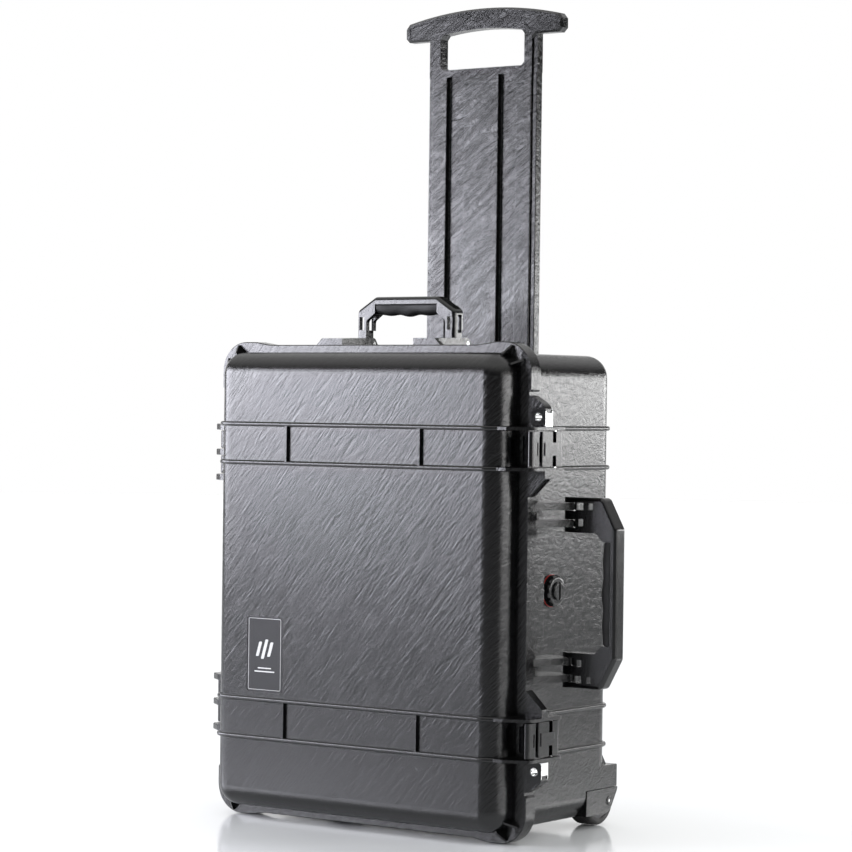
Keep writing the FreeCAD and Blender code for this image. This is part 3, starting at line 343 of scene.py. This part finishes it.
def grip(name, replaced, body, outward, along):
    """Soft grip in the box of the plain one: D-shaped, with finger waves and fine cross grooves."""
    low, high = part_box(replaced)
    half = (high[along] - low[along]) / 2
    middle = (high[along] + low[along]) / 2
    thick = (high[1] - low[1]) / 2 - 0.1 * MM
    waist = (high[1] + low[1]) / 2
    deep = high[outward] - low[outward]
    mesh = bmesh.new()
    rows = []
    for i in range(GRIP_ROWS + 1):
        spot = half * (2 * i / GRIP_ROWS - 1) * 0.999
        u = spot / half
        wave = 1.1 * math.cos(math.pi * u * GRIP_WAVES) * (1 - u * u)
        swell = 1.6 * math.cos(math.pi * u / 2) + wave
        end = max(0.0, (abs(spot) - half + GRIP_BLUNT) / GRIP_BLUNT)
        depth = (deep - (2.75 - swell) * MM) * (1 - 0.12 * end ** 2)
        if abs(spot) < half - GROOVE_FREE:
            depth -= GROOVE_DEPTH * max(0.0, math.cos(2 * math.pi * spot / GROOVE_PITCH)) ** 3
        row = []
        for k in range(GRIP_ARC + 1):
            angle = math.pi * (k / GRIP_ARC - 0.5)
            rise = math.copysign(abs(math.sin(angle)) ** GRIP_SQUARENESS, math.sin(angle))
            corner = [0.0, waist + thick * rise, 0.0]
            corner[outward] = high[outward] - 0.02 * MM - depth * abs(math.cos(angle)) ** GRIP_SQUARENESS
            corner[along] = middle + spot
            row.append(mesh.verts.new(corner))
        rows.append(row)
    for first, second in zip(rows, rows[1:]):
        bridge(mesh, first, second)
    mesh.faces.new(rows[0])
    mesh.faces.new(rows[-1])
    piece = piece_from(mesh, name, body, MATERIALS["grip_rubber"], smooth=True)
    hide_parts(replaced)


def round_loop(x, z, radius, steps=40):
    return [(x + radius * math.cos(2 * math.pi * i / steps), z + radius * math.sin(2 * math.pi * i / steps))
            for i in range(steps)]


def reach_to_edge(away, low, high, centre):
    """How many times away fits between the centre and the edge it points at."""
    if abs(away) < 1e-9:
        return math.inf
    return ((high if away > 0 else low) - centre) / away


def hasp_painted_reflection(name, node, hole_from_low):
    """Painted dark reflection on the sloping front of a lid hasp: a black sheet stands in for the dark lid
    mirrored in the steel; it leaves the steel ring and outer edge bare.
    """
    low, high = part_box(node)
    hole_x = high[0] - HASP_HOLE_IN
    hole_z = low[2] + hole_from_low * MM
    x0, x1, z0, z1 = low[0] - 0.12 * MM, high[0] - 0.4 * MM, low[2] - 0.12 * MM, high[2] + 0.12 * MM
    ring = round_loop(hole_x, hole_z, BARE_RING)
    outer = []
    for x, z in ring:
        away_x, away_z = x - hole_x, z - hole_z
        reach = min(reach_to_edge(away_x, x0, x1, hole_x), reach_to_edge(away_z, z0, z1, hole_z))
        corner = math.hypot(away_x, away_z) * reach
        reach *= min(1.0, PAINTED_REFLECTION_REACH / corner)
        outer.append((hole_x + away_x * reach, hole_z + away_z * reach))
    mesh = bmesh.new()
    rows = []
    for lift, loop in ((0.16, outer), (0.16, ring), (-0.05, ring), (-1.0, outer)):
        rows.append([mesh.verts.new((x, low[1] + (x - low[0]) * HASP_SLOPE - lift * MM, z))
                     for x, z in loop])
    for first, second in zip(rows, rows[1:] + rows[:1]):
        bridge(mesh, first, second)
    # the sheet, in the black latch plastic, paints the lid's dark reflection on the steel
    piece_from(mesh, name, "lid", MATERIALS["latch_plastic"])


def axle_cap(name, node, side):
    """Domed black washer round the outer end of a wheel axle; only the middle of the steel shows."""
    low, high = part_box(node)
    y, z = (low[1] + high[1]) / 2, (low[2] + high[2]) / 2
    face = high[0] if side > 0 else low[0]
    mesh = bmesh.new()
    rows = []
    for radius, out in ((1.9, -0.4), (1.9, 0.25), (3.2, 0.45), (4.6, 0.2), (5.6, -0.5), (5.6, -0.75),
                        (4.1, -0.75), (4.1, 0.06)):
        rows.append([mesh.verts.new((face + side * out * MM, y + a, z + b))
                     for a, b in round_loop(0.0, 0.0, radius * MM)])
    for first, second in zip(rows, rows[1:] + rows[:1]):
        bridge(mesh, first, second)
    piece_from(mesh, name, "base", MATERIALS["black_nylon"], smooth=True)


label_print()
# painted dark reflections on the steel fronts of the two hasps
hasp_painted_reflection("hasp_painted_reflection_upper", "lid_hasp_upper", 10.2)
hasp_painted_reflection("hasp_painted_reflection_lower", "lid_hasp_lower", 10.8)
axle_cap("axle_cap_right", "wheel_axle_right", 1)
axle_cap("axle_cap_left", "wheel_axle_left", -1)
grip("side_grip_soft", "side_handle_grip", "side_handle", 0, 2)
grip("top_grip_soft", "top_handle_grip", "top_handle", 2, 0)


# ---- stage ------------------------------------------------------------------------------------
def floor():
    g = Graph("floor_gloss")
    mottle = g.noise(3.0, 3.0)
    colour = g.blend(mottle, (0.8, 0.82, 0.83, 1.0), (0.84, 0.855, 0.865, 1.0))
    g.finish(colour, g.spread(mottle, 0.3, 0.7, 0.1, 0.16))
    mesh = bmesh.new()
    bmesh.ops.create_circle(mesh, cap_ends=True, radius=12.0, segments=96)
    data = bpy.data.meshes.new("floor")
    mesh.to_mesh(data)
    mesh.free()
    piece = bpy.data.objects.new("floor", data)
    bpy.context.scene.collection.objects.link(piece)
    piece.location.z = -0.0005
    dress(piece, g.material)


def softbox(name, bearing, distance, low, high, width, radiance, tint=(1.0, 1.0, 1.0)):
    """An upright soft light that faces the object; bearing is in degrees from -Y towards +X."""
    data = bpy.data.lights.new(name, "AREA")
    data.shape = "RECTANGLE"
    data.size = width
    data.size_y = high - low
    data.energy = radiance * math.pi * width * (high - low)
    data.color = tint
    lamp = bpy.data.objects.new(name, data)
    bpy.context.scene.collection.objects.link(lamp)
    turn = math.radians(bearing)
    lamp.location = (distance * math.sin(turn), -distance * math.cos(turn), (low + high) / 2)
    lamp.rotation_euler = (math.radians(90), 0, turn)
    lamp.visible_camera = False


def world_link(tree, kind, settings=(), **inputs):
    """A world node with its inputs set or linked."""
    made = tree.nodes.new(kind)
    for key, value in settings:
        setattr(made, key, value)
    for key, value in inputs.items():
        socket = made.inputs[key.replace("_", " ")]
        if isinstance(value, bpy.types.NodeSocket):
            tree.links.new(value, socket)
        else:
            socket.default_value = value
    return made


def room():
    """A room that is dark at eye level and soft white overhead; the camera sees a white backdrop."""
    world = bpy.data.worlds.new("studio")
    bpy.context.scene.world = world
    world.use_nodes = True
    tree = world.node_tree
    place = world_link(tree, "ShaderNodeTexCoord").outputs["Generated"]
    height = world_link(tree, "ShaderNodeSeparateXYZ", Vector=place).outputs["Z"]
    above = world_link(tree, "ShaderNodeMapRange", [("interpolation_type", "SMOOTHSTEP")],
                       Value=height, From_Min=0.2, From_Max=0.75, To_Min=0.08, To_Max=1.3)
    ceiling = world_link(tree, "ShaderNodeBackground", Strength=above.outputs[0])
    white = world_link(tree, "ShaderNodeBackground", Strength=1.0)
    for made in (ceiling, white):
        made.inputs["Color"].default_value = (1.0, 1.0, 1.0, 1.0)
    path = world_link(tree, "ShaderNodeLightPath").outputs["Is Camera Ray"]
    either = tree.nodes.new("ShaderNodeMixShader")
    tree.links.new(path, either.inputs[0])
    tree.links.new(ceiling.outputs[0], either.inputs[1])
    tree.links.new(white.outputs[0], either.inputs[2])
    tree.links.new(either.outputs[0], tree.nodes["World Output"].inputs["Surface"])


def lights():
    """A tall light with a glow at the left, two low ones at the right, and a pale one far behind."""
    room()
    cool = (0.96, 0.965, 1.06)
    softbox("front_left_light", -60, 3.0, 0.3, 1.25, 3.1, 12.5, cool)
    softbox("front_left_glow", -43, 2.95, 0.48, 1.0, 1.0, 7.5, cool)
    softbox("right_light", 98, 3.0, 0.4, 0.78, 2.6, 11.0)
    softbox("back_right_light", 146, 3.0, 0.4, 0.78, 2.6, 11.0)
    softbox("backdrop_light", 216, 13.0, 0.0, 5.0, 16.0, 1.0)


def camera():
    """The camera of the photograph: a long lens, almost level, 36 degrees round to the right."""
    turn, pitch, roll = (math.radians(a) for a in (36.055, -0.42, 0.734))
    ahead = Vector((-math.sin(turn) * math.cos(pitch), math.cos(turn) * math.cos(pitch), math.sin(pitch)))
    right = Vector((math.cos(turn), math.sin(turn), 0))
    up = right.cross(ahead)
    right_rolled = right * math.cos(roll) + up * math.sin(roll)
    up_rolled = up * math.cos(roll) - right * math.sin(roll)
    data = bpy.data.cameras.new("camera")
    data.sensor_width = 36.0
    data.lens = 124.03
    eye = bpy.data.objects.new("camera", data)
    bpy.context.scene.collection.objects.link(eye)
    axes = Matrix((right_rolled, up_rolled, -ahead)).transposed().to_4x4()
    eye.matrix_world = Matrix.Translation((2.01015, -2.7956, 0.4895)) @ axes
    bpy.context.scene.camera = eye


floor()
lights()
camera()
bpy.context.scene.view_settings.view_transform = "Standard"
